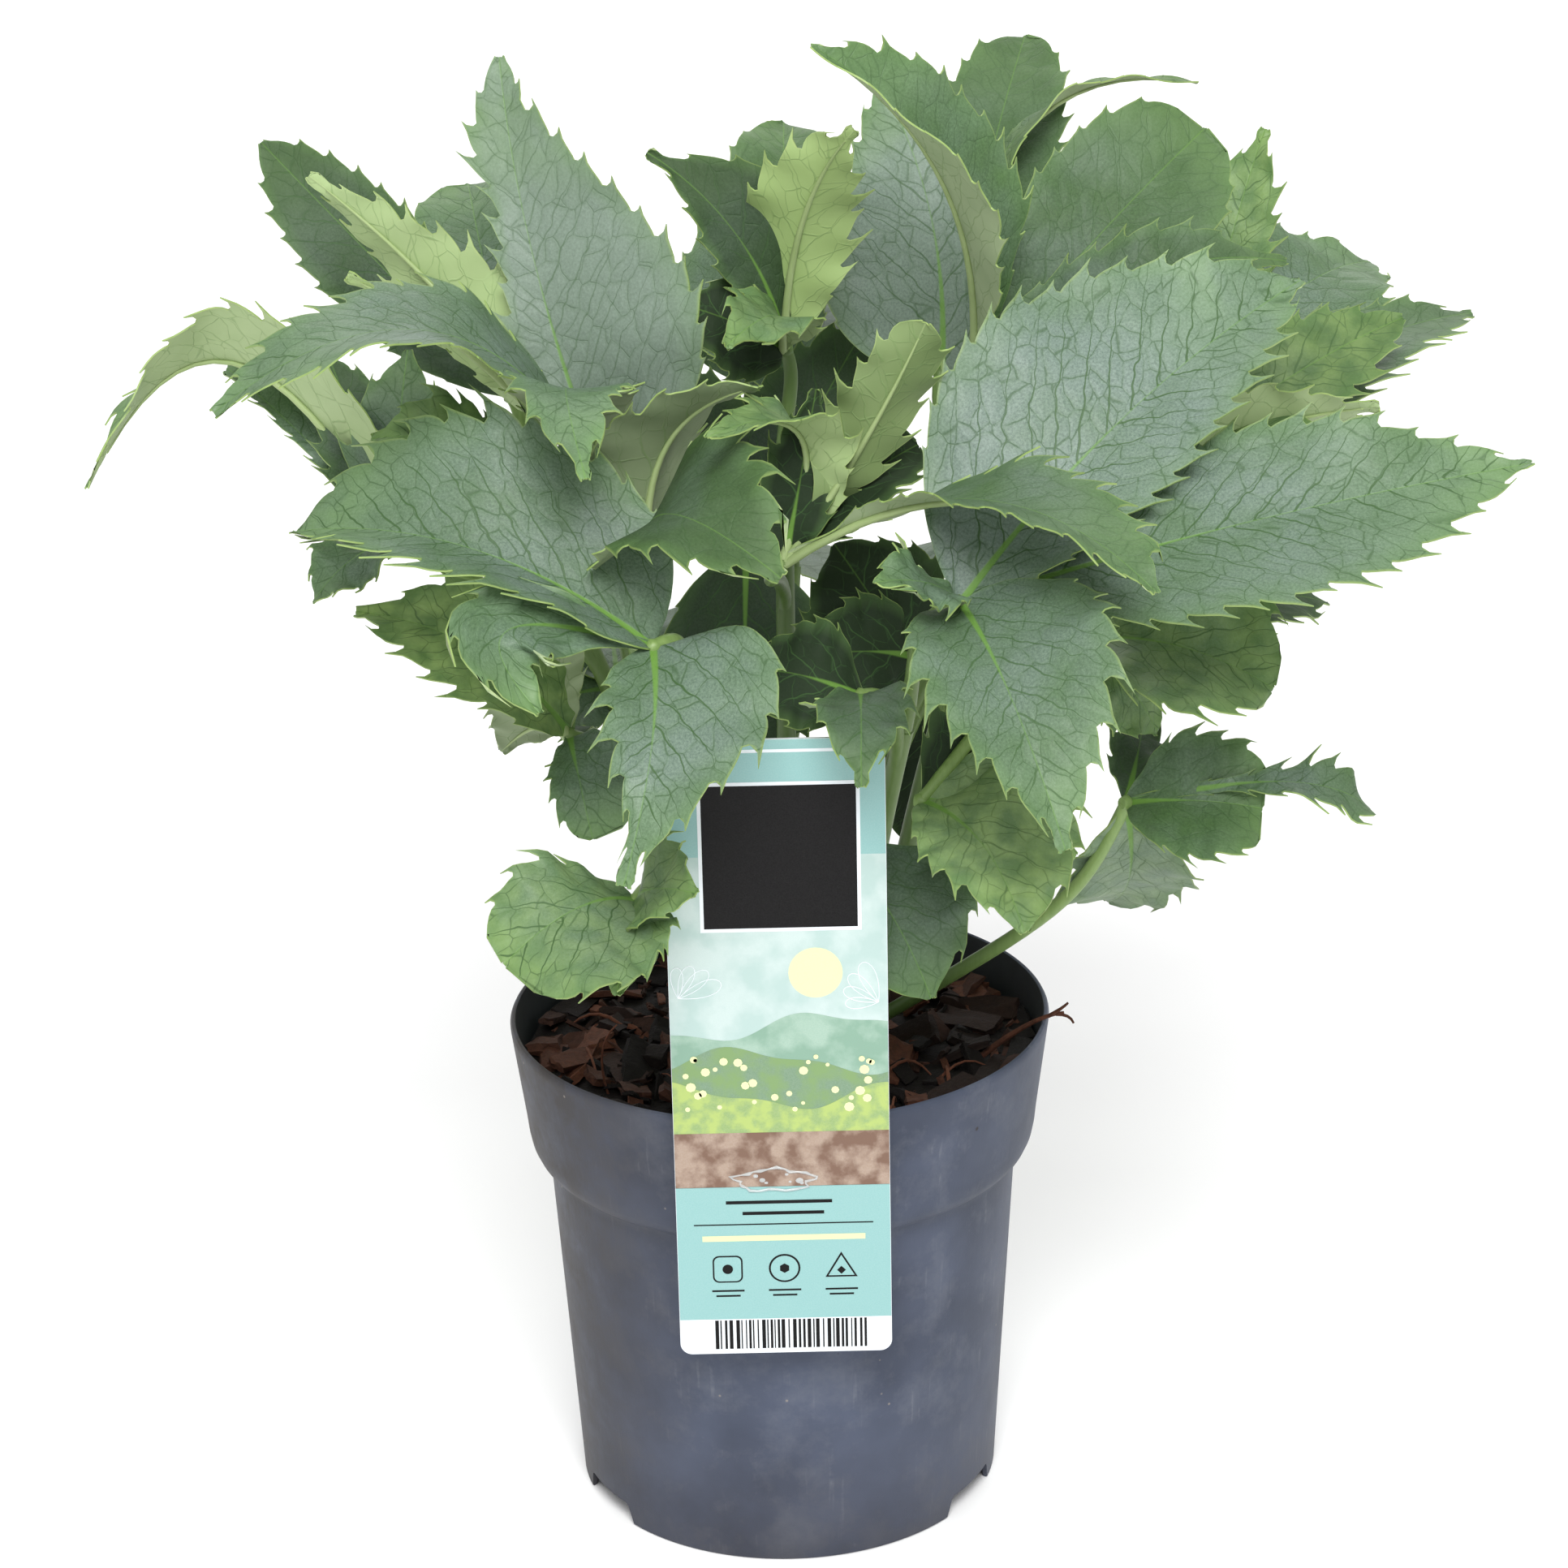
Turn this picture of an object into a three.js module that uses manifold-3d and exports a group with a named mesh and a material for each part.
// A potted hellebore of the tall, spiny-leaved kind, in millimetres, +Z up.
// The origin is the centre of the pot's foot, and -Y is the front, where the plant label hangs.
//
// Pieces: the plastic pot, the substrate with its bark chips, eight leafy stems that stand in
// plain holes in the substrate, the plant label and the dab of glue that holds it to the pot.
// Each leafy stem grew as one piece: its stalk, the petioles and three leaflets to a leaf are fused.

import * as THREE from "three";
import { mergeVertices } from "three/addons/utils/BufferGeometryUtils.js";
import Module from "manifold-3d";

// ---- Driving dimensions -------------------------------------------------------------------

const POT_HEIGHT = 132;
const RIM_RADIUS = 70;
const COLLAR_FOOT_RADIUS = 66.8;
const COLLAR_FOOT_Z = 106;
const SHOULDER_Z = 95;
const WALL_TOP_RADIUS = 61.3;
const FOOT_RADIUS = 55.5;
const POT_WALL = 1.3;
const FLOOR_Z = 7.5;
const FLOOR_THICK = 1.6;
const LIP = 0.9;
const POT_SIDES = 32;
const NOTCH_ANGLES = [-30, 90, 210];
const NOTCH_WIDTH = 24;
const DISC_RADIUS = 26;
const DRAIN_RADIUS = 4.5;
const DRAIN_CIRCLE = 40;
const DRAIN_COUNT = 6;

const SOIL_TOP = 122;
const SOIL_SWELL = 2.5;
const CLEARANCE = 0.35;
const HOLE_GAP = 0.45;
const CHIP_COUNT = 6;

const LABEL_WIDTH = 52.5;
const LABEL_BOTTOM = 69.5;
const LABEL_TOP = 231.5;
const LABEL_THICK = 0.8;
const LABEL_CORNER = 3;
const GLUE_WIDTH = 20;
const GLUE_HEIGHT = 7;
const GLUE_Z = 120;

const STALK_RADIUS = 2.8;
const STALK_SIDES = 7;
const STALK_STEPS = 4;
const STALK_DEPTH = 34;
const PETIOLE_RADIUS = 1.9;
const PETIOLE_SPRING = 0.4;
const PETIOLE_SIDES = 5;
const KNOB_RADIUS = 2.6;
const BLADE_THICK = 0.9;
const ROOT_THICK = 2.2;
const BLADE_ROOT = 1.3;
const TOOTH_PITCH = 17;

// A tooth's place between two valleys, how far it stands out, and how far the valleys cut in.
const TOOTH_LEAN = 0.85;
const TOOTH_REACH = 1.6;
const VALLEY = 0.1;
const WAVE = 2;

// Where a blade is widest, as a share of its length, and how it narrows to its tip.
const BELLY = 0.43;
const TIP_TAPER = 0.95;

// The share of a blade's length over which a tongue's end is rounded.
const TONGUE_ROUND = 0.1;

// Where a lobe is centred and how far it spreads, as shares of a blade's length.
const LOBE_AT = 0.8;
const LOBE_SPREAD = 0.12;

// ---- The plant ----------------------------------------------------------------------------
// A stalk runs from its foot in the substrate to its top. A leaf leaves the stalk at a share of
// its height. Its petiole starts along the stalk, or toward a point that pulls its middle, and
// ends at the hub, where the leaflets meet. A leaflet has
//   tip     where it ends
//   bow     how far its middle stands above the straight line to the tip, along its face
//   sway    the same, to its right, and peak, how far along it the pull of both acts
//   face    the heading and height above the horizon of its upper side, in degrees
//   width   its blade, without teeth
//   skew    how much wider its right half is than its left, as a share
//   belly   where it is widest, as a share of its length
//   taper   how it narrows to its tip: under 1 blunt, over 1 drawn out
//   tongue  the least half width that it keeps on its way to a round tip
//   lobe    how much wider its left half swells again near its tip
//   fold    how far each half is raised from flat, in degrees
//   twist   the turn of the blade from root to tip, in degrees

const STEMS = [
  {
    name: "leafy_stem_centre",
    foot: [0, 2],
    top: [4, -6, 284],
    lean: [4, 4],
    leaves: [
      { at: 1, hub: [5, -5, 308], leaflets: [
        { tip: [-27, -5, 357], bow: 8, sway: 4, face: [-80, 30], width: 30, skew: 0.35, taper: 1.4,
          fold: 20 },
        { tip: [22, -36, 367], bow: 6, sway: 5, face: [85, 5], width: 28, skew: 0.1, belly: 0.38,
          taper: 1.1, fold: 16 },
        { tip: [6, 50, 353], bow: 8, face: [-90, 30], width: 30, belly: 0.6, taper: 0.6 },
        { tip: [-20, -14, 322], bow: 4, face: [-90, 30], width: 26 },
        { tip: [-9, -42, 318], bow: 9, face: [-60, 60], width: 20, belly: 0.5, fold: 18 } ] },
      { at: 0.78, hub: [4, -48, 268], leaflets: [
        { tip: [37, -62, 328], bow: 3, sway: -3, face: [100, 10], width: 20, belly: 0.68, taper: 0.6,
          fold: 18 },
        { tip: [85, -112, 278], bow: 18, sway: 1, peak: 0.6, face: [-90, 97], width: 26, skew: -0.3,
          belly: 0.6, fold: 16, twist: -52 },
        { tip: [36, -36, 292], bow: 5, face: [-90, 55], width: 26, belly: 0.6, taper: 0.6, fold: 24 },
        { tip: [-13, -77, 306], bow: 21, peak: 0.42, face: [20, 70], width: 24, fold: 22 },
        { tip: [12, -43, 308], bow: 3, face: [-90, 15], width: 17, fold: 16 } ] },
      { at: 0.66, hub: [34, -26, 236], leaflets: [
        { tip: [16, -16, 262], bow: 4, face: [-90, 20], width: 36 },
        { tip: [8, -38, 241], bow: 4, face: [-90, 30], width: 28 } ] },
      { at: 0.4, hub: [17, -40, 190], leaflets: [
        { tip: [37, -59, 159], bow: 6, face: [-70, 30], width: 42 } ] },
    ],
  },
  {
    name: "leafy_stem_right_front",
    foot: [14, -14],
    top: [32, -40, 222],
    lean: [4, -6],
    leaves: [
      { at: 1, hub: [44, -72, 264], leaflets: [
        { tip: [128, -20, 326], bow: 7, sway: -3, face: [-100, 40], width: 58, skew: -0.3, fold: 12 },
        { tip: [177, -60, 291], bow: 4, face: [-90, 55], width: 52, skew: 0.05, belly: 0.5, taper: 1.2 },
        { tip: [64, -130, 225], bow: 11, face: [-95, 52], width: 46, skew: -0.2, belly: 0.32, taper: 1.15,
          fold: 18 },
        { tip: [24, -93, 276], bow: 3, face: [-90, 60], width: 17, belly: 0.5 } ] },
      { at: 0.9, hub: [21, -58, 237], leaflets: [
        { tip: [20, -98, 229], bow: 8, face: [-90, 60], width: 22, belly: 0.45, taper: 1.2 },
        { tip: [-6, -52, 242], bow: 5, face: [-90, 40], width: 27 } ] },
    ],
  },
  {
    name: "leafy_stem_right",
    foot: [20, 2],
    top: [54, -6, 252],
    lean: [8, 0],
    leaves: [
      { at: 1, hub: [51, -12, 302], leaflets: [
        { tip: [12, -45, 388], bow: 15, peak: 0.6, face: [-17, 10], width: 38, fold: 42, belly: 0.5,
          taper: 1.1 },
        { tip: [109, 20, 355], bow: 8, face: [-100, 20], width: 44, belly: 0.62, taper: 0.5 },
        { tip: [127, -1, 326], bow: 19, face: [-90, 47], width: 22, belly: 0.45 } ] },
      { at: 0.8, hub: [75, -30, 240], leaflets: [
        { tip: [120, -48, 233], bow: 8, face: [-80, 50], width: 44, belly: 0.6, taper: 0.7, fold: 20 },
        { tip: [141, 12, 235], bow: 8, face: [-90, 60], width: 32 },
        { tip: [94, -30, 216], bow: 4, face: [-70, 40], width: 26 } ] },
      { at: 0.24, pull: [76, -16, 166], hub: [87, -28, 197], leaflets: [
        { tip: [120, -34, 197], bow: 4, face: [-90, 40], width: 34, belly: 0.6, taper: 0.4, fold: 20 },
        { tip: [147, -31, 195], bow: 11, peak: 0.75, face: [-90, 55], width: 14, belly: 0.78, taper: 0.5,
          twist: 60 },
        { tip: [94, 5, 208], bow: 4, face: [-90, 20], width: 14 },
        { tip: [86, 8, 156], bow: 6, sway: -3, face: [-90, 10], width: 30, belly: 0.5, taper: 0.8 } ] },
      { at: 0.92, pull: [70, -46, 250], hub: [35, -60, 211], leaflets: [
        { tip: [57, -100, 193], bow: 6, sway: -3, face: [-90, 55], width: 38, skew: -0.3 },
        { tip: [71, -71, 200], bow: 6, face: [-90, 50], width: 34 },
        { tip: [59, -44, 236], bow: 2, face: [-90, 15], width: 20, belly: 0.5 } ] },
    ],
  },
  {
    name: "leafy_stem_right_back",
    foot: [12, 18],
    top: [50, 34, 240],
    lean: [6, 4],
    leaves: [
      { at: 1, hub: [44, 22, 294], leaflets: [
        { tip: [29, 45, 366], bow: 8, sway: 5, face: [-85, 15], width: 54, belly: 0.3, skew: -0.1,
          taper: 1.1 },
        { tip: [70, 95, 366], bow: 10, face: [-95, 30], width: 34, belly: 0.6, taper: 0.55 },
        { tip: [114, 80, 355], bow: 27, peak: 0.6, face: [122, 75], width: 16, taper: 1.2 } ] },
      { at: 0.85, hub: [114, 58, 284], leaflets: [
        { tip: [131, 75, 344], bow: 4, face: [-120, 10], width: 24 },
        { tip: [165, 110, 300], bow: 10, face: [-60, 60], width: 44 },
        { tip: [112, 135, 280], bow: 12, face: [60, 60], width: 46 } ] },
      { at: 0.7, hub: [98, 14, 268], leaflets: [
        { tip: [161, 30, 304], bow: 7, face: [-90, 50], width: 26, belly: 0.55, taper: 0.7 },
        { tip: [186, 70, 295], bow: 10, face: [-90, 70], width: 36 },
        { tip: [151, 0, 289], bow: 5, face: [90, 40], width: 26 } ] },
      { at: 0.6, hub: [50, 40, 216], leaflets: [
        { tip: [40, 37, 160], bow: 3, face: [-90, 5], width: 42, belly: 0.5, taper: 0.7 } ] },
    ],
  },
  {
    name: "leafy_stem_left_front",
    foot: [-12, -15],
    top: [-24, -42, 217],
    lean: [-4, -6],
    leaves: [
      { at: 1, hub: [-27, -75, 256], leaflets: [
        { tip: [-111, -50, 278], bow: 13, face: [-95, 65], width: 48, skew: 0.4, fold: 26, belly: 0.4,
          taper: 0.75 },
        { tip: [-34, -118, 214], bow: 9, sway: -3, face: [-85, 52], width: 41, skew: -0.44, belly: 0.25,
          taper: 1.6, fold: 18 },
        { tip: [-52, -100, 249], bow: 3, sway: 20, peak: 1.15, face: [-90, 35], width: 23,
          belly: 0.52 } ] },
      { at: 0.9, hub: [-29, -48, 266], leaflets: [
        { tip: [3, -95, 278], bow: 18, face: [-90, 50], width: 44, skew: -0.2, belly: 0.36, fold: 12 },
        { tip: [-1, -55, 312], bow: 14, face: [130, 35], width: 36, fold: 16 } ] },
      { at: 0.5, hub: [-33, -75, 193], leaflets: [
        { tip: [-63, -100, 188], bow: 8, face: [-95, 55], width: 42, skew: -0.25, belly: 0.6, taper: 0.45 },
        { tip: [-37, -103, 181], bow: 6, face: [-90, 50], width: 22 },
        { tip: [-18, -98, 204], bow: 4, face: [-90, 40], width: 26 } ] },
    ],
  },
  {
    name: "leafy_stem_left",
    foot: [-20, 2],
    top: [-36, -14, 240],
    lean: [-6, 0],
    leaves: [
      { at: 1, hub: [-38, -25, 280], leaflets: [
        { tip: [-62, 10, 378], bow: 7, sway: -2, face: [-105, 15], width: 49, skew: 0.6, belly: 0.31,
          taper: 1.6, fold: 12, tongue: 5, lobe: 4.5 },
        { tip: [-40, -92, 301], bow: 22, sway: 7, face: [-90, 75], width: 27 },
        { tip: [-125, -70, 312], bow: 30, peak: 0.6, face: [-90, 76], width: 36, skew: 0.1, belly: 0.5,
          fold: 10, twist: -10 } ] },
      { at: 0.95, hub: [-56, -16, 298], leaflets: [
        { tip: [-108, -4, 353], bow: 5, face: [70, 20], width: 27, belly: 0.3, fold: 16 },
        { tip: [-99, -15, 331], bow: 3, face: [90, 40], width: 10 } ] },
      { at: 0.8, hub: [-59, -30, 286], leaflets: [
        { tip: [-93, -38, 297], bow: 7, face: [-90, 45], width: 21, belly: 0.5, fold: 24 } ] },
      { at: 0.6, hub: [-50, -25, 217], leaflets: [
        { tip: [-102, -15, 247], bow: 13, peak: 0.45, face: [-95, 58], width: 32, skew: 0.15 },
        { tip: [-62, -22, 238], bow: 2, face: [80, 10], width: 26, belly: 0.75, taper: 0.3 },
        { tip: [-69, 0, 204], bow: 5, face: [90, 40], width: 26 },
        { tip: [-44, -50, 199], bow: 5, face: [-90, 30], width: 22, skew: -0.35, belly: 0.6,
          taper: 0.45 } ] },
    ],
  },
  {
    name: "leafy_stem_left_back",
    foot: [-12, 18],
    top: [-56, 22, 246],
    lean: [-8, 4],
    leaves: [
      { at: 1, hub: [-64, 25, 290], leaflets: [
        { tip: [-126, 50, 351], bow: 6, face: [-115, 35], width: 30, belly: 0.5, taper: 0.7 },
        { tip: [-77, 85, 332], bow: 8, face: [-90, 30], width: 36, belly: 0.65, taper: 0.5 } ] },
      { at: 0.8, hub: [-92, 5, 259], leaflets: [
        { tip: [-166, -10, 278], bow: 38, peak: 0.72, face: [80, 62], width: 46, belly: 0.36, taper: 1.2,
          fold: 20 },
        { tip: [-110, 26, 302], bow: 5, face: [-80, 20], width: 22 },
        { tip: [-88, 12, 306], bow: 5, face: [-100, 25], width: 26 },
        { tip: [-138, 45, 294], bow: 5, face: [-100, 50], width: 24, skew: 0.75 },
        { tip: [-113, -8, 247], bow: 4, face: [-110, 70], width: 22 } ] },
      { at: 0.45, hub: [-40, 30, 210], leaflets: [
        { tip: [-70, 15, 204], bow: 5, face: [-90, 50], width: 26 },
        { tip: [-90, 62, 215], bow: 8, face: [120, 60], width: 46 },
        { tip: [-45, 92, 205], bow: 8, face: [100, 60], width: 46 } ] },
    ],
  },
  {
    name: "leafy_stem_back",
    foot: [0, 24],
    top: [6, 50, 236],
    lean: [0, 6],
    leaves: [
      { at: 1, hub: [4, 66, 278], leaflets: [
        { tip: [10, 120, 330], bow: 12, face: [90, 50], width: 54 },
        { tip: [60, 142, 290], bow: 12, face: [70, 60], width: 50 },
        { tip: [-55, 142, 290], bow: 12, face: [110, 60], width: 50 } ] },
      { at: 0.85, hub: [-6, 34, 246], leaflets: [
        { tip: [-42, 36, 302], bow: 6, face: [-90, 30], width: 40 },
        { tip: [28, 40, 306], bow: 6, face: [-90, 30], width: 34 },
        { tip: [-8, 22, 184], bow: 6, face: [-90, 20], width: 42 } ] },
      { at: 0.55, hub: [28, 70, 216], leaflets: [
        { tip: [30, 140, 205], bow: 10, face: [90, 60], width: 52 },
        { tip: [95, 100, 215], bow: 10, face: [60, 60], width: 46 },
        { tip: [85, 45, 190], bow: 8, face: [20, 60], width: 40 } ] },
    ],
  },
];

// ---- Helpers ------------------------------------------------------------------------------

const wasm = await Module();
wasm.setup();

const vec = (x, y, z) => new THREE.Vector3(x, y, z);
const radians = THREE.MathUtils.degToRad;

// A seeded draw, the same on each run.
function seededDraw(seed) {
  let state = seed >>> 0;
  return (low, high) => {
    state = (Math.imul(state, 1664525) + 1013904223) >>> 0;
    return low + ((high - low) * state) / 2 ** 32;
  };
}

// A closed surface that is built point by point.
class Surface {
  constructor() {
    this.points = [];
    this.triangles = [];
  }
  point(v) {
    this.points.push(v.x, v.y, v.z);
    return this.points.length / 3 - 1;
  }
  quad(a, b, c, d) {
    this.triangles.push(a, b, c, a, c, d);
  }
  triangle(a, b, c) {
    this.triangles.push(a, b, c);
  }
  solid() {
    return new wasm.Manifold(
      new wasm.Mesh({
        numProp: 3,
        vertProperties: new Float32Array(this.points),
        triVerts: new Uint32Array(this.triangles),
      }),
    );
  }
}

// A three.js geometry as a manifold solid, and back.
function solidOf(geometry) {
  const bare = geometry.index ? geometry.toNonIndexed() : geometry.clone();
  bare.deleteAttribute("normal");
  bare.deleteAttribute("uv");
  const merged = mergeVertices(bare, 1e-3);
  return new wasm.Manifold(
    new wasm.Mesh({
      numProp: 3,
      vertProperties: new Float32Array(merged.attributes.position.array),
      triVerts: new Uint32Array(merged.index.array),
    }),
  );
}

function geometryOf(solid) {
  const { vertProperties, triVerts, numProp } = solid.getMesh();
  const points = [];
  for (let i = 0; i < vertProperties.length; i += numProp) {
    points.push(...vertProperties.subarray(i, i + 3));
  }
  const geometry = new THREE.BufferGeometry();
  geometry.setAttribute("position", new THREE.Float32BufferAttribute(points, 3));
  geometry.setIndex([...triVerts]);
  geometry.computeVertexNormals();
  return geometry;
}

function named(name, solid, colour, roughness) {
  const material = new THREE.MeshStandardMaterial({ color: colour, roughness, metalness: 0 });
  const mesh = new THREE.Mesh(geometryOf(solid), material);
  mesh.name = name;
  return mesh;
}

// A lathed solid from a profile of [radius, height], turned so that its axis is Z.
function lathed(profile, sides) {
  const points = profile.map(([r, z]) => new THREE.Vector2(r, z));
  const geometry = new THREE.LatheGeometry(points, sides);
  geometry.rotateX(Math.PI / 2);
  return solidOf(geometry);
}

// A round tube that tapers along a curve, closed at both ends.
function tapered(curve, firstRadius, lastRadius, sides, steps) {
  const surface = new Surface();
  const up = vec(0.31, 0.95, 0.05);
  const rings = [];
  for (let i = 0; i <= steps; i++) {
    const t = i / steps;
    const centre = curve.getPoint(t);
    const along = curve.getTangent(t);
    const across = vec(0, 0, 0).crossVectors(up, along).normalize();
    const third = vec(0, 0, 0).crossVectors(along, across);
    const radius = THREE.MathUtils.lerp(firstRadius, lastRadius, t);
    const ring = [];
    for (let k = 0; k < sides; k++) {
      const turn = (k / sides) * 2 * Math.PI;
      const out = across.clone().multiplyScalar(Math.cos(turn) * radius);
      out.addScaledVector(third, Math.sin(turn) * radius);
      ring.push(surface.point(out.add(centre)));
    }
    rings.push(ring);
  }
  for (let i = 0; i < steps; i++) {
    for (let k = 0; k < sides; k++) {
      const next = (k + 1) % sides;
      surface.quad(rings[i][k], rings[i][next], rings[i + 1][next], rings[i + 1][k]);
    }
  }
  for (let k = 1; k < sides - 1; k++) {
    surface.triangle(rings[0][0], rings[0][k + 1], rings[0][k]);
    surface.triangle(rings[steps][0], rings[steps][k], rings[steps][k + 1]);
  }
  return surface.solid();
}

// ---- Leaves -------------------------------------------------------------------------------

// The blade's own frame: a bowed midrib, and the directions up from and across it at a share t.
function bladeFrame(hub, leaflet) {
  const root = vec(...hub);
  const tip = vec(...leaflet.tip);
  const chord = tip.clone().sub(root);
  const [heading, height] = leaflet.face.map(radians);
  const face = vec(
    Math.cos(height) * Math.cos(heading),
    Math.cos(height) * Math.sin(heading),
    Math.sin(height),
  );
  const along = chord.clone().normalize();
  const up = face.addScaledVector(along, -face.dot(along)).normalize();
  const side = vec(0, 0, 0).crossVectors(along, up);
  const pull = root.clone().addScaledVector(chord, leaflet.peak ?? 0.5);
  pull.addScaledVector(up, 2 * leaflet.bow).addScaledVector(side, 2 * (leaflet.sway ?? 0));
  const midrib = new THREE.QuadraticBezierCurve3(root, pull, tip);
  return (t) => {
    const tangent = midrib.getTangent(t);
    const normal = up.clone().addScaledVector(tangent, -up.dot(tangent)).normalize();
    normal.applyAxisAngle(tangent, radians(leaflet.twist ?? 0) * (t - 0.5));
    const across = vec(0, 0, 0).crossVectors(tangent, normal);
    return { centre: midrib.getPoint(t), tangent, normal, across };
  };
}

// The blade's width at a share t of its length, from 0 at both ends to 1 at its belly.
function outline(t, { belly = BELLY, taper = TIP_TAPER }) {
  const rise = (taper * belly) / (1 - belly);
  return (t / belly) ** rise * ((1 - t) / (1 - belly)) ** taper;
}

// Half the blade's width on its left (-1) or right (1) side: its outline, but no less than its
// tongue on the way to a round tip, and with its lobe on the left.
function halfWidth(t, sign, leaflet) {
  const half = (leaflet.width / 2) * (1 + sign * (leaflet.skew ?? 0));
  const ends = Math.sqrt(Math.min(1, t / TONGUE_ROUND, (1 - t) / TONGUE_ROUND));
  const lobe = sign < 0 ? (leaflet.lobe ?? 0) * Math.exp(-(((t - LOBE_AT) / LOBE_SPREAD) ** 2)) : 0;
  return Math.max(half * outline(t, leaflet), (leaflet.tongue ?? 0) * ends) + lobe;
}

// One leaflet: two halves raised a little from a midrib, with saw teeth that point to the tip.
// Both faces have the same triangles, so that the thin blade never crosses itself.
function leafletSolid(hub, leaflet, order) {
  const frameAt = bladeFrame(hub, leaflet);
  const length = vec(...leaflet.tip).distanceTo(vec(...hub));
  const count = THREE.MathUtils.clamp(Math.round(length / TOOTH_PITCH), 4, 8);
  const fold = radians(leaflet.fold ?? 9);
  const half = leaflet.width / 2;
  const surface = new Surface();

  // A point on the blade, as its upper and its lower vertex.
  const place = (t, across) => {
    const at = frameAt(t);
    const spread = Math.abs(across);
    const wave = WAVE * Math.sin(2 * Math.PI * (1.6 * t + 0.37 * order + (across > 0 ? 0.4 : 0)));
    const raise = spread * Math.sin(fold) + (spread / half) * wave;
    const middle = at.centre
      .clone()
      .addScaledVector(at.across, across * Math.cos(fold))
      .addScaledVector(at.normal, raise);
    const thick = across === 0 ? THREE.MathUtils.lerp(ROOT_THICK, BLADE_THICK, t) : BLADE_THICK;
    const top = middle.clone().addScaledVector(at.normal, BLADE_THICK / 2);
    const bottom = middle.addScaledVector(at.normal, BLADE_THICK / 2 - thick);
    return [surface.point(top), surface.point(bottom)];
  };

  const midrib = [];
  const margins = [[], []];
  const teeth = [[], []];
  for (let i = 0; i < count; i++) {
    const t = i / count;
    midrib.push(place(t, 0));
    [1, -1].forEach((sign, s) => {
      const reach = half * (1 + sign * (leaflet.skew ?? 0));
      const valley = Math.max(BLADE_ROOT, halfWidth(t, sign, leaflet) - VALLEY * reach);
      margins[s].push(place(t, sign * valley));
      if (i > 0 && i < count - 1) {
        const tooth = (i + TOOTH_LEAN) / count;
        teeth[s].push(place(tooth, sign * (halfWidth(tooth, sign, leaflet) + TOOTH_REACH)));
      } else {
        teeth[s].push(null);
      }
    });
  }
  const apex = place(1, 0);

  const paved = (a, b, c) => {
    surface.triangle(a[0], b[0], c[0]);
    surface.triangle(a[1], c[1], b[1]);
  };
  const walled = (a, b) => surface.quad(a[0], a[1], b[1], b[0]);
  [1, -1].forEach((sign, s) => {
    const pave = sign > 0 ? (a, b, c) => paved(a, b, c) : (a, b, c) => paved(a, c, b);
    const wall = sign > 0 ? (a, b) => walled(a, b) : (a, b) => walled(b, a);
    for (let i = 0; i < count; i++) {
      const nextMid = i + 1 < count ? midrib[i + 1] : apex;
      const edge = margins[s][i];
      const nextEdge = i + 1 < count ? margins[s][i + 1] : apex;
      pave(midrib[i], edge, nextMid);
      if (i + 1 < count) pave(edge, nextEdge, nextMid);
      if (teeth[s][i]) {
        pave(edge, teeth[s][i], nextEdge);
        wall(edge, teeth[s][i]);
        wall(teeth[s][i], nextEdge);
      } else {
        wall(edge, nextEdge);
      }
    }
    wall(midrib[0], margins[s][0]);
  });
  return surface.solid();
}

// A leaf: its petiole leaves the stalk along it, and swings round to the leaflets' own heading.
function leafSolids(stalk, leaf, firstOrder) {
  const start = stalk.getPoint(0.98 * leaf.at);
  const hub = vec(...leaf.hub);
  const reach = start.distanceTo(hub);
  const heading = vec(0, 0, 0);
  leaf.leaflets.forEach(({ tip }) => heading.add(vec(...tip).sub(hub).normalize()));
  const swing = PETIOLE_SPRING * reach;
  const pull = leaf.pull && vec(...leaf.pull);
  const leaving = pull ?? start.clone().addScaledVector(stalk.getTangent(leaf.at), swing);
  const arriving = pull ?? hub.clone().addScaledVector(heading.normalize(), -0.75 * swing);
  const route = new THREE.CubicBezierCurve3(start, leaving, arriving, hub);
  const knob = new THREE.IcosahedronGeometry(KNOB_RADIUS, 0).translate(...leaf.hub);
  const steps = THREE.MathUtils.clamp(Math.round(reach / 14), 2, 5);
  return [
    tapered(route, PETIOLE_RADIUS, PETIOLE_RADIUS * 0.85, PETIOLE_SIDES, steps),
    solidOf(knob),
    ...leaf.leaflets.map((leaflet, i) => leafletSolid(leaf.hub, leaflet, firstOrder + i)),
  ];
}

function stalkCurve({ foot, top, lean }) {
  const start = vec(foot[0], foot[1], SOIL_TOP - STALK_DEPTH);
  const end = vec(...top);
  const pull = vec(foot[0] + lean[0], foot[1] + lean[1], THREE.MathUtils.lerp(start.z, end.z, 0.5));
  return new THREE.QuadraticBezierCurve3(start, pull, end);
}

function leafyStem(stem, stemOrder) {
  const stalk = stalkCurve(stem);
  let solid = tapered(stalk, STALK_RADIUS, STALK_RADIUS * 0.8, STALK_SIDES, STALK_STEPS);
  stem.leaves.forEach((leaf, i) => {
    leafSolids(stalk, leaf, 10 * stemOrder + 3 * i).forEach((piece) => {
      solid = solid.add(piece);
    });
  });
  return named(stem.name, solid, 0x5f7f5c, 0.55);
}

// ---- Pot and substrate --------------------------------------------------------------------

// The outer outline of the pot from its foot to its rim: a taper, a soft shoulder and a collar.
const POT_OUTLINE = [
  [FOOT_RADIUS, 0],
  [WALL_TOP_RADIUS, SHOULDER_Z],
  [COLLAR_FOOT_RADIUS - 2.6, SHOULDER_Z + 1.2],
  [COLLAR_FOOT_RADIUS - 0.9, SHOULDER_Z + 4.5],
  [COLLAR_FOOT_RADIUS, COLLAR_FOOT_Z],
  [RIM_RADIUS, POT_HEIGHT - 2],
];

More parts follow.
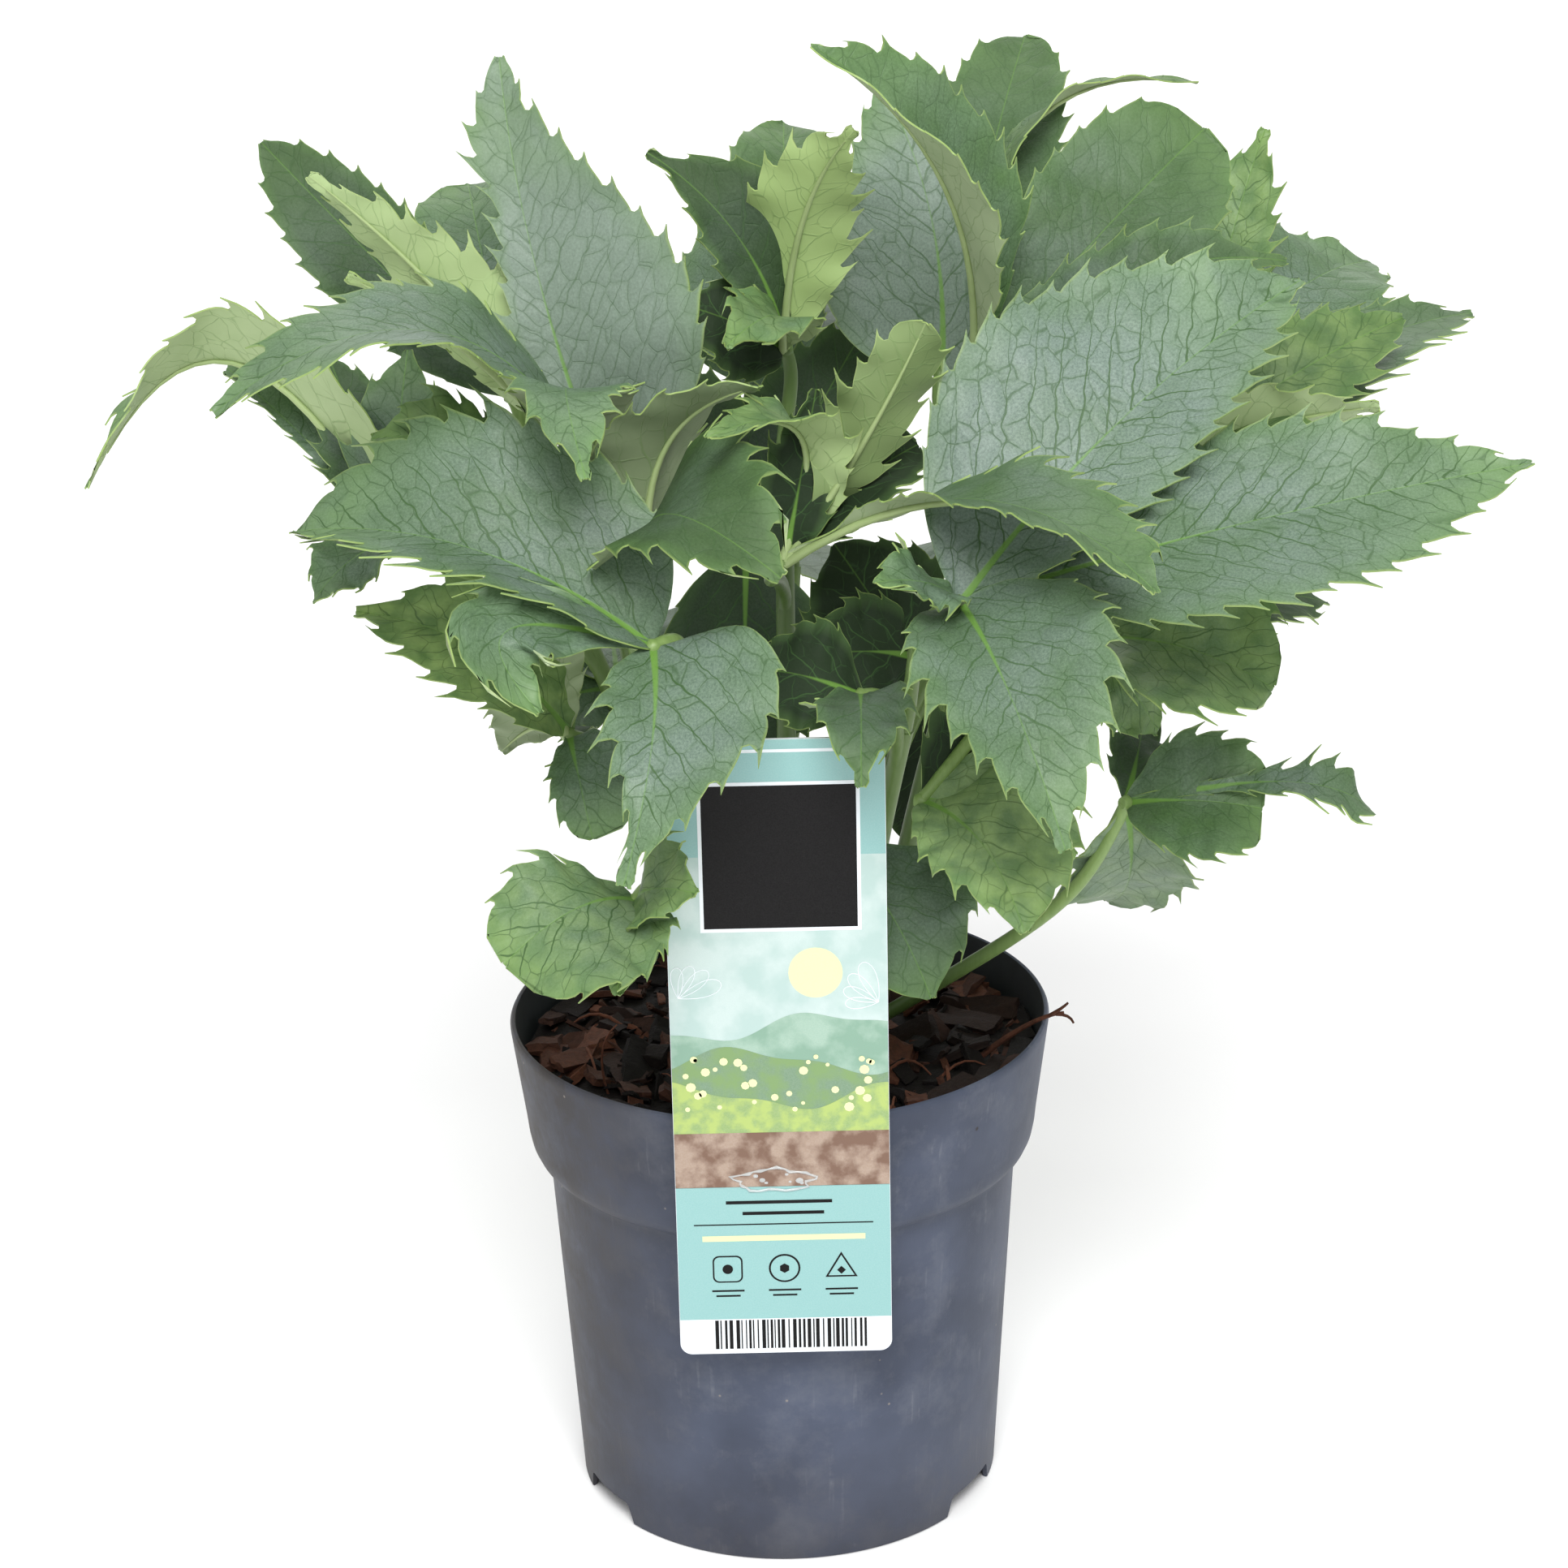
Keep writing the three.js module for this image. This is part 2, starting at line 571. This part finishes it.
const inside = (gap) => POT_OUTLINE.map(([r, z]) => [r - POT_WALL - gap, z]);

function potSolid() {
  const underside = FLOOR_Z - FLOOR_THICK;
  const inner = inside(0).slice(1).reverse();
  const foot = FOOT_RADIUS - POT_WALL;
  const floorRadius = foot + (FLOOR_Z / SHOULDER_Z) * (WALL_TOP_RADIUS - FOOT_RADIUS);
  const profile = [
    [0, 0],
    [DISC_RADIUS, 0],
    [DISC_RADIUS + 3, underside],
    [foot, underside],
    [foot, 0],
    ...POT_OUTLINE,
    [RIM_RADIUS, POT_HEIGHT - LIP],
    [RIM_RADIUS - LIP / 2, POT_HEIGHT],
    [RIM_RADIUS - POT_WALL - LIP / 4, POT_HEIGHT],
    ...inner,
    [floorRadius, FLOOR_Z],
    [DISC_RADIUS + 1, FLOOR_Z],
    [DISC_RADIUS - 2, FLOOR_THICK],
    [0, FLOOR_THICK],
  ];
  let pot = lathed(profile, POT_SIDES);
  for (const angle of NOTCH_ANGLES) pot = pot.subtract(notchTool(angle));
  for (let k = 0; k < DRAIN_COUNT; k++) {
    const turn = ((k + 0.5) / DRAIN_COUNT) * 2 * Math.PI;
    const drill = new THREE.CylinderGeometry(DRAIN_RADIUS, DRAIN_RADIUS, 3 * FLOOR_Z, 12);
    drill.rotateX(Math.PI / 2);
    drill.translate(DRAIN_CIRCLE * Math.cos(turn), DRAIN_CIRCLE * Math.sin(turn), FLOOR_Z);
    pot = pot.subtract(solidOf(drill));
  }
  return named("pot", pot, 0x4d5568, 0.55);
}

// A drainage notch in the foot: a low trapezium, pushed through the wall.
function notchTool(angle) {
  const top = FLOOR_Z - FLOOR_THICK;
  const shape = new THREE.Shape([
    new THREE.Vector2(-NOTCH_WIDTH / 2, -1),
    new THREE.Vector2(NOTCH_WIDTH / 2, -1),
    new THREE.Vector2(NOTCH_WIDTH / 2 - 4, top - 0.2),
    new THREE.Vector2(4 - NOTCH_WIDTH / 2, top - 0.2),
  ]);
  const tool = new THREE.ExtrudeGeometry(shape, { depth: 16, bevelEnabled: false });
  tool.rotateX(Math.PI / 2);
  tool.translate(0, FOOT_RADIUS + 8, 0);
  tool.rotateZ(radians(angle - 90));
  return solidOf(tool);
}

// Bark chips: flat, blunt slips, laid on the substrate at all angles and sunk into it.
function barkChip(draw) {
  const length = draw(8, 17);
  const width = draw(5, 9);
  const chip = new THREE.CylinderGeometry(width / 2, width / 2.6, draw(2.4, 4), 5);
  chip.rotateX(Math.PI / 2);
  chip.scale(length / width, 1, 1);
  const turned = new THREE.Matrix4().makeRotationFromEuler(
    new THREE.Euler(draw(-0.5, 0.5), draw(-0.5, 0.5), draw(0, Math.PI)),
  );
  const radius = (RIM_RADIUS - 13) * Math.sqrt(draw(0.06, 1));
  const turn = draw(0, 2 * Math.PI);
  chip.applyMatrix4(turned);
  chip.translate(radius * Math.cos(turn), radius * Math.sin(turn), SOIL_TOP + draw(-0.6, 1));
  return solidOf(chip);
}

function soilSolid() {
  const floorTop = FLOOR_Z + CLEARANCE;
  const wall = inside(CLEARANCE).filter(([, z]) => z > floorTop && z < SOIL_TOP - 2);
  const slope = (z) => FOOT_RADIUS + (z / SHOULDER_Z) * (WALL_TOP_RADIUS - FOOT_RADIUS);
  const profile = [
    [0, floorTop],
    [slope(floorTop) - POT_WALL - CLEARANCE, floorTop],
    ...wall,
    [collarRadius(SOIL_TOP - 2) - POT_WALL - CLEARANCE, SOIL_TOP - 2],
    [45, SOIL_TOP - 0.5],
    [22, SOIL_TOP + SOIL_SWELL / 2],
    [0, SOIL_TOP + SOIL_SWELL],
  ];
  let soil = lathed(profile, POT_SIDES);
  const draw = seededDraw(7);
  for (let k = 0; k < CHIP_COUNT; k++) soil = soil.add(barkChip(draw));
  for (const stem of STEMS) {
    const stalk = stalkCurve(stem);
    const hole = tapered(stalk, STALK_RADIUS + HOLE_GAP, STALK_RADIUS + HOLE_GAP, STALK_SIDES, STALK_STEPS);
    const floor = new THREE.CylinderGeometry(STALK_RADIUS + 0.5, STALK_RADIUS + 0.5, 2, STALK_SIDES);
    floor.rotateX(Math.PI / 2).translate(stem.foot[0], stem.foot[1], SOIL_TOP - STALK_DEPTH);
    soil = soil.subtract(hole).subtract(solidOf(floor));
  }
  return named("potting_soil", soil, 0x3a2a22, 0.95);
}

// ---- Label --------------------------------------------------------------------------------

// The collar's outer radius at a height.
function collarRadius(z) {
  const share = (z - COLLAR_FOOT_Z) / (POT_HEIGHT - 2 - COLLAR_FOOT_Z);
  return THREE.MathUtils.lerp(COLLAR_FOOT_RADIUS, RIM_RADIUS, share);
}

const LABEL_BACK = -(RIM_RADIUS + CLEARANCE);

function labelSolid() {
  const half = LABEL_WIDTH / 2;
  const edge = new THREE.Shape();
  const corners = [
    [half - LABEL_CORNER, LABEL_BOTTOM + LABEL_CORNER, -90],
    [half - LABEL_CORNER, LABEL_TOP - LABEL_CORNER, 0],
    [LABEL_CORNER - half, LABEL_TOP - LABEL_CORNER, 90],
    [LABEL_CORNER - half, LABEL_BOTTOM + LABEL_CORNER, 180],
  ];
  for (const [x, z, start] of corners) {
    edge.absarc(x, z, LABEL_CORNER, radians(start), radians(start + 90), false);
  }
  const card = new THREE.ExtrudeGeometry(edge, {
    depth: LABEL_THICK,
    bevelEnabled: false,
    curveSegments: 4,
  });
  card.rotateX(Math.PI / 2);
  card.translate(0, LABEL_BACK, 0);
  return named("plant_label", solidOf(card), 0x8fc9c4, 0.4);
}

// The glue fills the space between the card and the round collar.
function glueSolid() {
  const pad = new THREE.BoxGeometry(GLUE_WIDTH, 6, GLUE_HEIGHT);
  pad.translate(0, LABEL_BACK + CLEARANCE + 3, GLUE_Z);
  const collar = lathed(
    [
      [0, SHOULDER_Z],
      [collarRadius(COLLAR_FOOT_Z) + CLEARANCE, SHOULDER_Z],
      [collarRadius(COLLAR_FOOT_Z) + CLEARANCE, COLLAR_FOOT_Z],
      [collarRadius(POT_HEIGHT - 2) + CLEARANCE, POT_HEIGHT - 2],
      [0, POT_HEIGHT - 2],
    ],
    POT_SIDES,
  );
  return named("label_glue", solidOf(pad).subtract(collar), 0xe6ebea, 0.25);
}

// ---- The whole ----------------------------------------------------------------------------

const hellebore = new THREE.Group();
hellebore.name = "potted_hellebore";
hellebore.add(potSolid(), soilSolid(), labelSolid(), glueSolid());
STEMS.forEach((stem, i) => hellebore.add(leafyStem(stem, i)));

export default hellebore;
